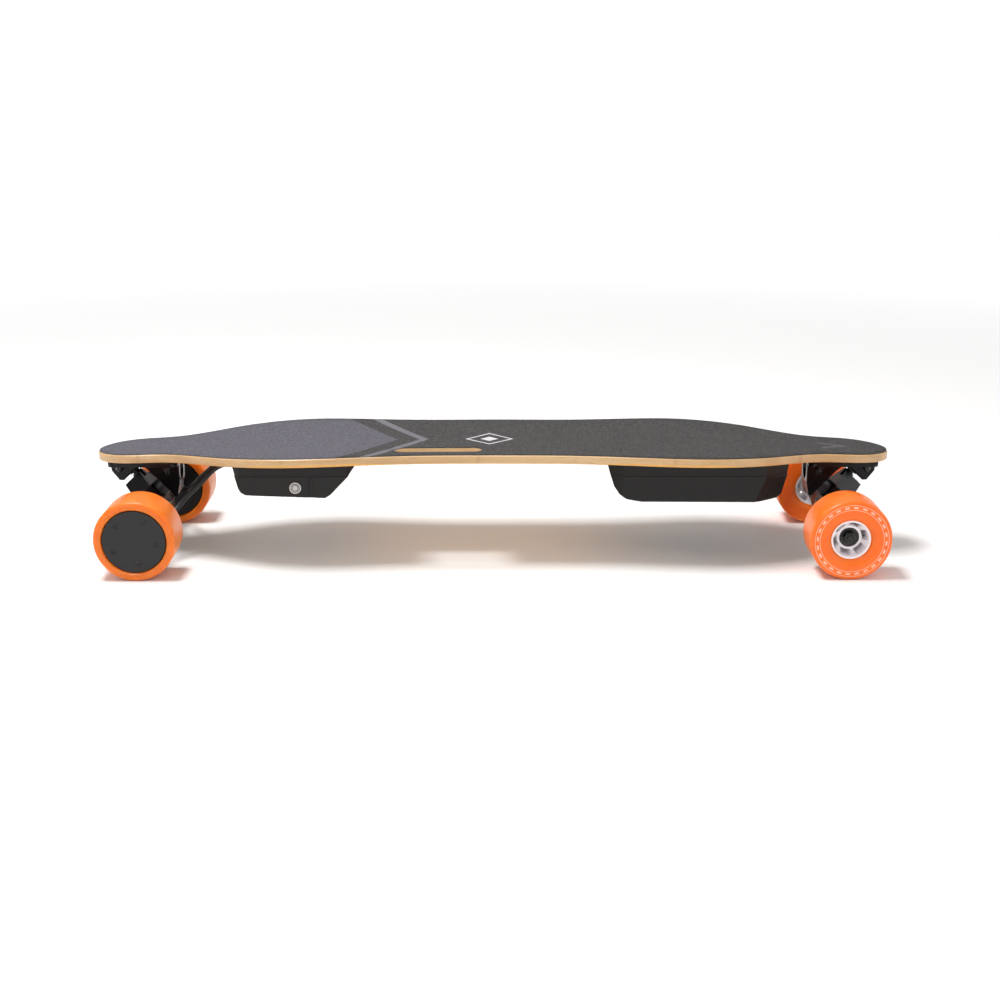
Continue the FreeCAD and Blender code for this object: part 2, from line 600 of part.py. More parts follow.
def outer_cap():
    face = REAR_WHEEL_OUTER - CAP_INSET
    cap = turn([(0, CAN_END + 0.05), (CAP_RADIUS, CAN_END + 0.05), (CAP_RADIUS, face - 0.8),
                (CAP_RADIUS - 0.8, face), (0, face)])
    boss = tube(15.0, 0, OUTER_BEARING_START, CAN_END + 0.1)
    cap = fuse([cap, boss])
    cap = cap.cut(tube(MOTOR_BEARING_RADIUS, 0, OUTER_BEARING_START - 1,
                       OUTER_BEARING_START + MOTOR_BEARING_WIDTH + 0.05))
    hole = Part.makeCylinder(1.6, 10, V(CAP_SCREW_CIRCLE, face - 9, WHEEL_RADIUS), ACROSS)
    sink = Part.makeCylinder(3.1, 3, V(CAP_SCREW_CIRCLE, face - 2.4, WHEEL_RADIUS), ACROSS)
    for cut in around(hole.fuse(sink), CAP_SCREWS, CAP_SCREW_START):
        cap = cap.cut(cut)
    return cap


def cap_screws():
    face = REAR_WHEEL_OUTER - CAP_INSET
    x = CAP_SCREW_CIRCLE
    head = Part.makeCylinder(2.75, 2.2, V(x, face - 2.35, WHEEL_RADIUS), ACROSS)
    shank = Part.makeCylinder(1.45, 4.5, V(x, face - 6.6, WHEEL_RADIUS), ACROSS)
    socket = hexagon(2.5, 2.0, V(x, face - 1.5, WHEEL_RADIUS), ACROSS)
    return around(head.fuse(shank).cut(socket), CAP_SCREWS, CAP_SCREW_START)


def inner_cover():
    face = REAR_WHEEL_INNER + 1.6
    cover = turn([(MOTOR_BEARING_RADIUS + 2.5, face + 0.4), (MOTOR_BEARING_RADIUS + 6, face),
                  (CAP_RADIUS - 0.8, face), (CAP_RADIUS, face + 0.8), (CAP_RADIUS, CAN_START - 0.05),
                  (MOTOR_BEARING_RADIUS + 2.5, CAN_START - 0.05)])
    boss = tube(MOTOR_BEARING_RADIUS + 2.6, MOTOR_BEARING_RADIUS, INNER_BEARING_START - 0.4,
                INNER_BEARING_START + MOTOR_BEARING_WIDTH)
    return fuse([cover, boss])


def stator():
    yoke = tube(14.0, MOTOR_AXLE_RADIUS + 0.02, STACK_START, STACK_END)
    tooth = box(13.0, STATOR_RADIUS - 1.2, STACK_START, STACK_END, WHEEL_RADIUS - 1.9, WHEEL_RADIUS + 1.9)
    shoe = tube(STATOR_RADIUS, STATOR_RADIUS - 1.8, STACK_START, STACK_END)
    shoe = shoe.common(box(18.0, 40.0, 90, 140, WHEEL_RADIUS - 5.8, WHEEL_RADIUS + 5.8))
    return fuse([yoke] + around(tooth, MOTOR_SLOTS) + around(shoe, MOTOR_SLOTS))


def windings():
    coil = box(15.5, 25.0, STACK_START - 2.4, STACK_END + 2.4, WHEEL_RADIUS - 3.6, WHEEL_RADIUS + 3.6)
    gap = box(15.0, 26.0, STACK_START - 0.05, STACK_END + 0.05, WHEEL_RADIUS - 1.95, WHEEL_RADIUS + 1.95)
    return around(coil.cut(gap), MOTOR_SLOTS)


def rear_wheel_place(shape, side):
    """The tail truck is turned round, so a left wheel starts on the truck's right."""
    return placed(wheel_side(shape, -side), -1)


def rear_motors():
    stators, coils, inner_rings = [], [], []
    starts = (INNER_BEARING_START, OUTER_BEARING_START)
    for side, word in ((1, "left"), (-1, "right")):
        name = "rear_%s_" % word
        wheel = {"sleeve": [rear_sleeve()], "rotor_can": [rotor_can()], "magnets": magnets(),
                 "outer_cap": [outer_cap()], "cap_screws": cap_screws(), "inner_cover": [inner_cover()],
                 "bearings": [solid for start in starts
                              for solid in bearing_outer(start, MOTOR_BEARING_WIDTH, MOTOR_AXLE_RADIUS,
                                                         MOTOR_BEARING_RADIUS)]}
        for part, solids in wheel.items():
            write(name + part, [rear_wheel_place(solid, side) for solid in solids])
        stators.append(rear_wheel_place(stator(), side))
        coils += [rear_wheel_place(solid, side) for solid in windings()]
        inner_rings += [rear_wheel_place(bearing_inner(start, MOTOR_BEARING_WIDTH, MOTOR_AXLE_RADIUS,
                                                       MOTOR_BEARING_RADIUS), side) for start in starts]
    write("rear_stators", stators)
    write("rear_windings", coils)
    write("rear_bearing_inner_rings", inner_rings)
    end = OUTER_BEARING_START + MOTOR_BEARING_WIDTH - 0.5
    write("rear_axle", placed(tube(MOTOR_AXLE_RADIUS - 0.02, 0, -end, end), -1))


# ---- boxes under the deck ----
def battery_shape(inset):
    """Closed form of the battery box, its walls moved inwards by inset."""
    low = BATTERY_BOTTOM + inset
    side = [(126.0 + inset, 120), (137.0 + inset, 87), (142.5 + inset, 79.5 + inset * 0.3),
            (151 + inset * 0.6, 74.5 + inset * 0.8), (161 + inset * 0.3, low + 1.0), (168, low),
            (304, low - 0.7), (322 - inset * 0.6, low + 1.0), (327.5 - inset, low + 5.5),
            (335.5 - inset, 112), (337 - inset, 120)]
    top_plan = [(126, 50), (147, SIDE_HALF), (308, SIDE_HALF), (338, 56)]
    foot_plan = [(126, 50), (147, SIDE_HALF), (290, SIDE_HALF), (338, 46)]
    return side_prism(side, 100).common(drafted_block(foot_plan, top_plan, inset))


def esc_shape(inset):
    """Closed form of the controller box: square at the tail end, a slanting prow towards the nose."""
    low = ESC_BOTTOM + inset
    side = [(-298 + inset, 120), (-295.5 + inset, 112), (-287.5 + inset, 87), (-284.5 + inset, 82.5),
            (-279.5 + inset * 0.5, low + 3.0), (-272, low + 2.4), (-190 - inset, low - 0.5),
            (-184 - inset, low + 2.5), (-172 - inset, 91.5), (-162 - inset, 102), (-153 - inset, 114),
            (-150 - inset, 120)]
    top_plan = [(-298, 60), (-286, SIDE_HALF), (-166, SIDE_HALF), (-148, 46)]
    foot_plan = [(-298, 60), (-286, SIDE_HALF), (-205, SIDE_HALF), (-165, 46)]
    return side_prism(side, 100).common(drafted_block(foot_plan, top_plan, inset))


def drafted_block(foot_plan, top_plan, inset):
    """Block between two plans given as (x, half width) corners, leaning in towards the foot."""
    wires = []
    for level, plan, shrink in ((FOOT_LEVEL, foot_plan, inset + BOX_DRAFT), (BAND_LEVEL, top_plan, inset),
                                (122.0, top_plan, inset)):
        right = [(x, -(half - shrink)) for x, half in plan]
        left = [(x, half - shrink) for x, half in reversed(plan)]
        loop = right + left
        wires.append(Part.makePolygon([V(x, y, level) for x, y in loop + loop[:1]]))
    return Part.makeLoft(wires, True, True)


def between(low, high):
    """Everything between two levels, for taking a slice of a box."""
    return box(-400, 400, -100, 100, low, high)


def screw_post_places():
    """Box screws as (x, y, level of the box's outer face there): battery box, then controller box."""
    battery = [(149, 50, 76.5), (320, 44, 73.0)]
    esc = [(-276, 57, 79.5), (-196, 57, 76.5)]
    return [[(x, side * y, level) for x, y, level in half for side in (-1, 1)] for half in (battery, esc)]


def box_shell(shape_of, places, above_gasket):
    lower = shape_of(0).common(between(FOOT_LEVEL, BAND_LEVEL))
    band = shape_of(BAND_STEP).common(between(BAND_LEVEL, 130))
    shell = fuse([lower, band]).cut(shape_of(WALL))
    # the top is open: the cavity runs right up to the seal
    shell = shell.cut(shape_of(WALL).common(between(110, 125)).translated(UP * 5))
    for x, y, level in places:
        post = Part.makeCylinder(POST_RADIUS, 60, V(x, y, level - 6))
        shell = shell.fuse(post.common(shape_of(BAND_STEP)))
    for x, y, level in places:
        shell = shell.cut(Part.makeCylinder(SCREW_RADIUS + 0.15, 80, V(x, y, level - 10)))
        shell = shell.cut(Part.makeCylinder(SCREW_HEAD_RADIUS + 0.2, SCREW_SINK + 10, V(x, y, level - 10)))
    return shell.cut(above_gasket)


def box_screws(places):
    screws = []
    for x, y, level in places:
        seat = level + SCREW_SINK
        top = wood_top(x, y) - DECK_THICKNESS - 0.1
        shank = Part.makeCylinder(SCREW_RADIUS, top - seat, V(x, y, seat))
        head = Part.makeCylinder(SCREW_HEAD_RADIUS, 2.6, V(x, y, seat - 2.65))
        socket = hexagon(3.0, 1.6, V(x, y, seat - 2.7), UP)
        screws.append(shank.fuse(head).cut(socket))
    return screws


def gasket(shape_of, above_wood_bottom, above_gasket):
    ring = shape_of(BAND_STEP + 0.3).common(between(108, 120))
    ring = ring.cut(shape_of(WALL + 1.4).common(between(100, 120)))
    return ring.common(above_gasket.cut(above_wood_bottom))


def cable(points, radius):
    curve = Part.BSplineCurve()
    curve.interpolate([V(*p) for p in points])
    path = Part.Wire(curve.toShape())
    start, tangent = curve.value(curve.FirstParameter), curve.tangent(curve.FirstParameter)[0]
    ring = Part.Wire(Part.makeCircle(radius, start, tangent))
    return path.makePipeShell([ring], True, True)


def electronics():
    above_wood_bottom = curved_block(DECK_THICKNESS, 60)
    above_gasket = curved_block(DECK_THICKNESS + SEAL, 60)
    battery_places, esc_places = screw_post_places()
    battery = box_shell(battery_shape, battery_places, above_gasket)
    esc = box_shell(esc_shape, esc_places, above_gasket)
    # finger groove between the controller's button bay and its prow
    for side in (-1, 1):
        groove = box(GROOVE[0], GROOVE[1], side * 75 - 6.2, side * 75 + 6.2, FOOT_LEVEL, BAND_LEVEL - 2)
        esc = esc.cut(groove)
    button_axis = V(BUTTON_X, -90, BUTTON_Z)
    esc = esc.cut(Part.makeCylinder(BUTTON_HOLE_RADIUS, 40, button_axis, ACROSS))
    for side in (-1, 1):
        esc = esc.cut(Part.makeCylinder(CABLE_RADIUS + 0.3, 20, V(-305, side * 22, 104.5), V(1, 0, 0)))
    battery_slot, esc_slot = [slot_prism((x, 0), 40, 2 * CABLE_RADIUS + 0.6, 109, 125) for x in (128, -155)]
    esc = esc.cut(esc_slot)
    battery = battery.cut(battery_slot)
    esc = esc.cut(Part.makeCylinder(PORT_RADIUS, 40, V(PORT_X, 50, PORT_Z), ACROSS))
    esc = esc.cut(Part.makeCylinder(PORT_FLANGE_RADIUS + 0.1, 10, V(PORT_X, PORT_FACE, PORT_Z), ACROSS))
    esc = esc.cut(Part.makeCylinder(BEZEL_RADIUS + 0.1, 10, V(BUTTON_X, -BUTTON_FACE - 10, BUTTON_Z),
                                    ACROSS))
    write("battery_shell", battery)
    write("esc_shell", esc)
    write("box_gaskets", [gasket(battery_shape, above_wood_bottom, above_gasket).cut(battery_slot),
                          gasket(esc_shape, above_wood_bottom, above_gasket).cut(esc_slot)])
    write("box_screws", box_screws(battery_places + esc_places))
    power_button()


def power_button():
    """Push switch in the right wall of the controller box: fixed body and a cap that travels inwards."""
    front = -BUTTON_FACE - 1.95
    bezel = Part.makeCylinder(BEZEL_RADIUS, 1.9, V(BUTTON_X, front, BUTTON_Z), ACROSS)
    bezel = bezel.makeFillet(0.6, [edge for edge in bezel.Edges if edge.BoundBox.YMax < front + 0.01])
    barrel = Part.makeCylinder(5.9, 18, V(BUTTON_X, front + 0.5, BUTTON_Z), ACROSS)
    lock = hexagon(14.0, 2.5, V(BUTTON_X, -BUTTON_FACE + WALL + 1.4, BUTTON_Z), ACROSS)
    well = Part.makeCylinder(BUTTON_WELL_RADIUS, 7.0, V(BUTTON_X, front - 1.0, BUTTON_Z), ACROSS)
    write("power_button_body", fuse([bezel, barrel, lock]).cut(well))
    cap = Part.makeCylinder(BUTTON_CAP_RADIUS, 4.4, V(BUTTON_X, front - 0.3, BUTTON_Z), ACROSS)
    cap = cap.makeFillet(0.5, [edge for edge in cap.Edges if edge.BoundBox.YMax < front])
    write("power_button_cap", cap)


CELL_RADIUS = 9.2
CELL_LENGTH = 65.0
CELL_PITCH = 18.5
CELL_COLUMNS = 8
BOARD_THICKNESS = 1.6
BUTTON_CAP_RADIUS = 4.54
BUTTON_WELL_RADIUS = 4.6
BUTTON_HOLE_RADIUS = 6.0
GROOVE = (-208.5, -200.5)  # finger groove of the controller box, from and to along X


def battery_contents():
    cells = []
    first_x = 164.4
    first_z = BATTERY_BOTTOM + WALL + 0.9 + CELL_RADIUS
    for layer in range(2):
        for row in (-1, 1):
            for column in range(CELL_COLUMNS):
                if layer == 1 and column == CELL_COLUMNS - 1:
                    continue
                start = 0.3 if row > 0 else -0.3 - CELL_LENGTH
                base = V(first_x + column * CELL_PITCH, start, first_z + layer * (2 * CELL_RADIUS + 0.1))
                cell = Part.makeCylinder(CELL_RADIUS, CELL_LENGTH, base, ACROSS)
                cells.append(cell)
    write("battery_cells", cells)
    board = box(306.0, 306.0 + BOARD_THICKNESS, -38, 38, BATTERY_BOTTOM + 5, 104)
    chips = [box(306.0 + BOARD_THICKNESS, 310.0, y - 4, y + 4, 84, 96) for y in (-24, -8, 8, 24)]
    write("battery_board", fuse([board] + chips))


def charge_port():
    """Blind round socket in the left wall of the controller box."""
    rim = PORT_FACE + PORT_RIM
    seat = PORT_FACE + 0.05
    flange = Part.makeCylinder(PORT_FLANGE_RADIUS, rim - seat, V(PORT_X, seat, PORT_Z), ACROSS)
    barrel = Part.makeCylinder(PORT_RADIUS - 0.1, PORT_DEPTH + PORT_FLOOR,
                               V(PORT_X, rim - PORT_DEPTH - PORT_FLOOR, PORT_Z), ACROSS)
    well = Part.makeCylinder(PORT_PLUG_RADIUS, PORT_DEPTH + 5.0, V(PORT_X, rim - PORT_DEPTH, PORT_Z), ACROSS)
    return fuse([flange, barrel]).cut(well)


def esc_contents():
    """Motor controller board with its capacitors and power blocks."""
    level = ESC_BOTTOM + WALL + 5.0
    board = box(-276, -206, -44, 46, level, level + BOARD_THICKNESS)
    top = level + BOARD_THICKNESS
    cans = [Part.makeCylinder(6.2, 18.0, V(-214, y, top)) for y in (4, 19, 34)]
    blocks = [box(-270, -232, y - 12, y + 12, top, top + 9) for y in (-29, 1, 31)]
    write("esc_board", fuse([board] + cans + blocks))


def cables():
    """Two motor leads from the rear hanger up to the controller box, and the battery lead."""
    leads = []
    for side in (-1, 1):
        leads.append(cable([(-381, side * 80, 50), (-372, side * 66, 50), (-364, side * 52, 56),
                            (-350, side * 40, 71), (-334, side * 31, 86), (-320, side * 24, 99.0),
                            (-307, side * 22, 104.0), (-298, side * 22, 104.5),
                            (-285, side * 22, 104.5)], CABLE_RADIUS))
    write("motor_cables", leads)
    run_points = [(x, 0, wood_top(x, 0) - DECK_THICKNESS - CABLE_RADIUS - 0.4)
                  for x in (-164, -110, -55, 0, 55, 95, 134)]
    write("battery_lead", cable(run_points, CABLE_RADIUS))


def run():
    os.makedirs("parts", exist_ok=True)
    wood, grip, above_wood_bottom = deck_parts()
    write("deck", wood)
    write("grip_tape", grip)
    trucks(above_wood_bottom)
    front_wheels()
    rear_motors()
    electronics()
    battery_contents()
    write("charge_port", charge_port())
    esc_contents()
    cables()


run()
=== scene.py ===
import bpy
import json
import math
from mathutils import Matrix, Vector


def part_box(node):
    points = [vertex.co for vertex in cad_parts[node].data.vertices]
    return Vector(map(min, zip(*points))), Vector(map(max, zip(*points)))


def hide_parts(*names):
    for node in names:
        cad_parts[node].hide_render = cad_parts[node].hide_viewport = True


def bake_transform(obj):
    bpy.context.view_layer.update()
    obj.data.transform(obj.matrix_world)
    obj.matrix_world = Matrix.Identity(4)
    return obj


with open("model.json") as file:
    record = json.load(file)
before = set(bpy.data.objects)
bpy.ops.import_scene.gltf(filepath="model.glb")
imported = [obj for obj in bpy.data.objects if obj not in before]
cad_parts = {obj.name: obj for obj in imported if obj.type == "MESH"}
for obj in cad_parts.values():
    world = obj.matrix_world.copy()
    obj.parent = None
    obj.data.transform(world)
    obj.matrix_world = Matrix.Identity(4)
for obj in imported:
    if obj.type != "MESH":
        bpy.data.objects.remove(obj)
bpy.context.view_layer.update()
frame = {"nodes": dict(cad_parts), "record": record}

NODES = frame["nodes"]

# ---- the deck's shape, in metres ----
CAMBER_RADIUS = 9.2
CONCAVE = 0.0032
WAIST_HALF_WIDTH = 0.089
DECK_CENTRE_TOP = 0.1272
DECK_THICKNESS = 0.0096

# ---- places taken from the frame ----
DECK_LOW, DECK_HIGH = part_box("deck")
SLEEVE_LOW, SLEEVE_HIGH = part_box("rear_right_sleeve")
TYRE_LOW, TYRE_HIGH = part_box("front_right_tyre")
REAR_AXLE_X = (SLEEVE_LOW.x + SLEEVE_HIGH.x) / 2
FRONT_AXLE_X = (TYRE_LOW.x + TYRE_HIGH.x) / 2
AXLE_Z = (SLEEVE_LOW.z + SLEEVE_HIGH.z) / 2

# ---- printed pattern on the grip, in metres on the board ----
TAIL_PANEL_TIP = -0.1108
CHEVRON_TIP = -0.086
CHEVRON_WIDTH = 0.0112
PRINT_SLOPE = 0.65
EMBLEM_X = -0.0045
EMBLEM_REACH = 0.026
EMBLEM_HALF_LINE = 0.0018
EMBLEM_CORE = 0.0105
NOSE_MARK_TIP = 0.406
NOSE_MARK_HALF_WIDTH = 0.007
NOSE_MARK_START = 0.380
NOSE_MARK_SLOPE = 2.2

# ---- bamboo, in metres ----
STRIP_WIDTH = 0.0175
PLY_THICKNESS = 0.0021
# painted shade and bounce light: depth of the amber band at the bottom of the deck's edge, and how much
# higher it reaches where the deck is wide
BOUNCE_SHADE_DEPTH = 0.0007
BOUNCE_SHADE_WIDE_EXTRA = 0.0020
WIDE_HALF_WIDTH = 0.093


# ---- node tree helpers ----
class Shader:
    """Short way to write a node material."""

    def __init__(self, name):
        self.material = bpy.data.materials.new(name)
        self.material.use_nodes = True
        self.tree = self.material.node_tree
        self.principled = self.tree.nodes["Principled BSDF"]
        self.coords = self.add("ShaderNodeTexCoord").outputs["Object"]

    def add(self, kind, **values):
        node = self.tree.nodes.new(kind)
        for key, value in values.items():
            setattr(node, key, value)
        return node

    def wire(self, value, socket):
        if isinstance(value, bpy.types.NodeSocket):
            self.tree.links.new(value, socket)
        elif isinstance(value, tuple) and len(value) == 3 and socket.type == "RGBA":
            socket.default_value = (*value, 1.0)
        else:
            socket.default_value = value

    def set(self, **values):
        for key, value in values.items():
            self.wire(value, self.principled.inputs[key.replace("_", " ")])

    def math(self, operation, a, b=0.0, c=0.0, clamp=False):
        node = self.add("ShaderNodeMath", operation=operation, use_clamp=clamp)
        for value, socket in zip((a, b, c), node.inputs):
            self.wire(value, socket)
        return node.outputs[0]

    def mapped(self, scale):
        node = self.add("ShaderNodeMapping")
        self.wire(self.coords, node.inputs["Vector"])
        node.inputs["Scale"].default_value = scale
        return node.outputs[0]

    def noise(self, scale, detail=4.0, rough=0.55, where=None, distort=0.0):
        node = self.add("ShaderNodeTexNoise")
        self.wire(where if where is not None else self.coords, node.inputs["Vector"])
        node.inputs["Scale"].default_value = scale
        node.inputs["Detail"].default_value = detail
        node.inputs["Roughness"].default_value = rough
        node.inputs["Distortion"].default_value = distort
        return node.outputs["Fac"]

    def cells(self, scale):
        node = self.add("ShaderNodeTexVoronoi")
        self.wire(self.coords, node.inputs["Vector"])
        node.inputs["Scale"].default_value = scale
        return node.outputs["Distance"]

    def ramp(self, value, stops):
        node = self.add("ShaderNodeValToRGB")
        self.wire(value, node.inputs[0])
        elements = node.color_ramp.elements
        while len(elements) < len(stops):
            elements.new(0.5)
        for element, (place, color) in zip(elements, stops):
            element.position = place
            element.color = (*color, 1.0) if isinstance(color, tuple) else (color, color, color, 1.0)
        return node.outputs[0]

    def mix(self, factor, a, b, blend="MIX"):
        node = self.add("ShaderNodeMix", data_type="RGBA", blend_type=blend)
        self.wire(factor, node.inputs[0])
        self.wire(a, node.inputs[6])
        self.wire(b, node.inputs[7])
        return node.outputs[2]

    def xyz(self):
        node = self.add("ShaderNodeSeparateXYZ")
        self.wire(self.coords, node.inputs[0])
        return node.outputs[0], node.outputs[1], node.outputs[2]

    def bump(self, height, distance, strength):
        node = self.add("ShaderNodeBump")
        self.wire(height, node.inputs["Height"])
        node.inputs["Distance"].default_value = distance
        node.inputs["Strength"].default_value = strength
        self.wire(node.outputs[0], self.principled.inputs["Normal"])

    def near(self, value, centre, half, soft):
        """1 where value is within half of centre, fading over soft."""
        off = self.math("ABSOLUTE", self.math("SUBTRACT", value, centre))
        edge = self.add("ShaderNodeMapRange", clamp=True)
        self.wire(off, edge.inputs["Value"])
        edge.inputs["From Min"].default_value = half + soft / 2
        edge.inputs["From Max"].default_value = half - soft / 2
        return edge.outputs[0]

    def below(self, value, limit, soft):
        """1 where value is under limit."""
        edge = self.add("ShaderNodeMapRange", clamp=True)
        self.wire(value, edge.inputs["Value"])
        edge.inputs["From Min"].default_value = limit + soft / 2
        edge.inputs["From Max"].default_value = limit - soft / 2
        return edge.outputs[0]

    def worn_edges(self, radius, low=0.1, high=0.9):
        """Lighter where the surface turns sharply."""
        bevel = self.add("ShaderNodeBevel", samples=4)
        bevel.inputs["Radius"].default_value = radius
        geometry = self.add("ShaderNodeNewGeometry")
        dot = self.add("ShaderNodeVectorMath", operation="DOT_PRODUCT")
        self.wire(bevel.outputs[0], dot.inputs[0])
        self.wire(geometry.outputs["Normal"], dot.inputs[1])
        turned = self.math("SUBTRACT", 1.0, dot.outputs["Value"])
        return self.ramp(turned, [(low * 0.2, 0.0), (high * 0.2, 1.0)])


# ---- materials ----
GRIP_SOFT = 0.0006


def grip_material():
    s = Shader("grip_grit")
    x, y, _ = s.xyz()
    reach = s.math("MULTIPLY_ADD", s.math("ABSOLUTE", y), PRINT_SLOPE, x)
    tail = s.below(reach, TAIL_PANEL_TIP, GRIP_SOFT)
    chevron = s.near(reach, CHEVRON_TIP + CHEVRON_WIDTH / 2, CHEVRON_WIDTH / 2, GRIP_SOFT)
    dx = s.math("SUBTRACT", x, EMBLEM_X)
    spread = s.math("ADD", s.math("ABSOLUTE", dx), s.math("ABSOLUTE", y))
    emblem = s.math("MAXIMUM", s.near(spread, EMBLEM_REACH, EMBLEM_HALF_LINE, GRIP_SOFT),
                    s.below(spread, EMBLEM_CORE, GRIP_SOFT))
    nose_reach = s.math("MULTIPLY_ADD", s.math("ABSOLUTE", y), NOSE_MARK_SLOPE, x)
    nose = s.math("MULTIPLY", s.near(nose_reach, NOSE_MARK_TIP, NOSE_MARK_HALF_WIDTH, GRIP_SOFT),
                  s.below(s.math("MULTIPLY", x, -1.0), -NOSE_MARK_START, GRIP_SOFT))
    grit = s.cells(1150.0)
    fine = s.noise(900.0, 3.0, 0.7)
    cloud = s.noise(18.0, 4.0)
    clumps = s.ramp(s.noise(330.0, 3.0, 0.75), [(0.44, 0.0), (0.60, 1.0)])
    speckle = s.math("MULTIPLY", s.ramp(grit, [(0.12, 1.0), (0.32, 0.4), (0.62, 0.0)]),
                     s.math("MULTIPLY_ADD", clumps, 0.95, 0.3), clamp=True)
    black = s.mix(speckle, (0.0105, 0.0092, 0.0090), (0.205, 0.190, 0.185))
    grey = s.mix(speckle, (0.058, 0.054, 0.070), (0.29, 0.275, 0.325))
    color = s.mix(tail, black, grey)
    color = s.mix(chevron, color, s.mix(speckle, (0.12, 0.115, 0.13), (0.34, 0.33, 0.37)))
    color = s.mix(s.math("MULTIPLY", nose, 0.5), color, (0.14, 0.135, 0.15))
    color = s.mix(emblem, color, s.mix(speckle, (0.62, 0.61, 0.63), (0.85, 0.84, 0.86)))
    color = s.mix(s.math("MULTIPLY", cloud, 0.18), color, (0.12, 0.11, 0.11))
    s.set(Base_Color=color, Roughness=s.ramp(fine, [(0.3, 0.62), (0.7, 0.95)]), Specular_IOR_Level=0.45)
    height = s.math("ADD", s.math("MULTIPLY", grit, -1.0), s.math("MULTIPLY", fine, 0.6))
    s.bump(height, 0.0006, 0.8)
    return s.material


def bamboo_material():
    """Clear coated bamboo: strips along the board, node bands, thin ply lines at the edge."""
    s = Shader("bamboo_deck")
    x, y, z = s.xyz()
    strip = s.math("FLOOR", s.math("DIVIDE", y, STRIP_WIDTH))
    strip_vector = s.add("ShaderNodeCombineXYZ")
    s.wire(s.math("MULTIPLY", strip, 7.31), strip_vector.inputs[0])
    white = s.add("ShaderNodeTexWhiteNoise", noise_dimensions="3D")
    s.wire(strip_vector.outputs[0], white.inputs["Vector"])
    tone = white.outputs["Value"]
    fibre = s.noise(1.0, 6.0, 0.7, s.mapped((22.0, 1500.0, 1500.0)))
    broad = s.noise(1.0, 3.0, 0.5, s.mapped((5.0, 90.0, 90.0)))
    base = s.ramp(broad, [(0.3, (0.55, 0.33, 0.14)), (0.55, (0.66, 0.43, 0.21)), (0.75, (0.74, 0.52, 0.28))])
    color = s.mix(s.ramp(fibre, [(0.35, 0.55), (0.6, 0.0)]), base, (0.42, 0.24, 0.10))
    color = s.mix(s.math("MULTIPLY", tone, 0.28), color, (0.50, 0.32, 0.15))
    # node bands: each strip has its own places
    along = s.math("ADD", s.math("MULTIPLY", x, 4.6), s.math("MULTIPLY", tone, 5.0))
    cycle = s.math("FRACT", along)
    band = s.near(cycle, 0.5, 0.009, 0.014)
    color = s.mix(s.math("MULTIPLY", band, 0.2), color, (0.25, 0.12, 0.045))
    seam = s.near(s.math("FRACT", s.math("DIVIDE", y, STRIP_WIDTH)), 0.0, 0.012, 0.02)
    # ply lines follow the wood's top surface
    depth = s.math("SUBTRACT", wood_top_nodes(s, x, y), z)
    ply = s.math("FRACT", s.math("DIVIDE", depth, PLY_THICKNESS))
    line = s.near(ply, 0.5, 0.045, 0.06)
    geometry = s.add("ShaderNodeNewGeometry")
    normal = s.add("ShaderNodeSeparateXYZ")
    s.wire(geometry.outputs["Normal"], normal.inputs[0])
    side = s.below(s.math("ABSOLUTE", normal.outputs[2]), 0.55, 0.2)
    flat = s.math("SUBTRACT", 1.0, side)
    color = s.mix(s.math("MULTIPLY", s.math("MULTIPLY", seam, flat), 0.5), color, (0.28, 0.15, 0.06))
    color = s.mix(s.math("MULTIPLY", s.math("MULTIPLY", line, side), 0.38), color, (0.36, 0.19, 0.07))
    # painted shade and warm bounce light from the floor: the lowest layer of the edge is coloured amber,
    # reaching higher up the edge where the deck is wide
    wide = s.below(s.math("MULTIPLY", s.math("ABSOLUTE", y), -1.0), -WIDE_HALF_WIDTH, 0.006)
    start = s.math("MULTIPLY_ADD", wide, -BOUNCE_SHADE_WIDE_EXTRA, DECK_THICKNESS - BOUNCE_SHADE_DEPTH)
    bounce_shade = s.below(s.math("SUBTRACT", start, depth), 0.0, 0.0004)
    bounce_shade_color = s.mix(s.ramp(fibre, [(0.35, 0.5), (0.6, 0.0)]), (0.82, 0.42, 0.08), (0.52, 0.23, 0.04))
    bounce_shade_color = s.mix(s.math("MULTIPLY", tone, 0.35), bounce_shade_color, (0.62, 0.31, 0.07))
    bounce_shade_color = s.mix(s.math("MULTIPLY", seam, 0.45), bounce_shade_color, (0.34, 0.15, 0.03))
    color = s.mix(s.math("MULTIPLY", bounce_shade, 0.9), color, bounce_shade_color)
    s.set(Base_Color=color, Roughness=s.ramp(fibre, [(0.3, 0.34), (0.7, 0.48)]), Coat_Weight=0.35,
          Coat_Roughness=0.18)
    s.bump(s.math("SUBTRACT", fibre, s.math("MULTIPLY", s.math("MULTIPLY", line, side), 0.6)), 0.00012, 0.5)
    return s.material


def wood_top_nodes(s, x, y):
    """Height of the wood's top surface over the board, as nodes: a parabola close to the real camber."""
    crown = s.math("MULTIPLY", s.math("MULTIPLY", x, x), -1.0 / (2 * CAMBER_RADIUS))
    dish = s.math("MULTIPLY", s.math("MULTIPLY", y, y), CONCAVE / WAIST_HALF_WIDTH ** 2)
    return s.math("ADD", s.math("ADD", crown, dish), DECK_CENTRE_TOP)


PRINT_OUTER = 0.0405
PRINT_INNER = 0.0352
PRINT_HALF_LINE = 0.00028
PRINT_DASHES = 24
PRINTED_FACE_Y = 0.1325
TREAD_RADIUS = 0.0436


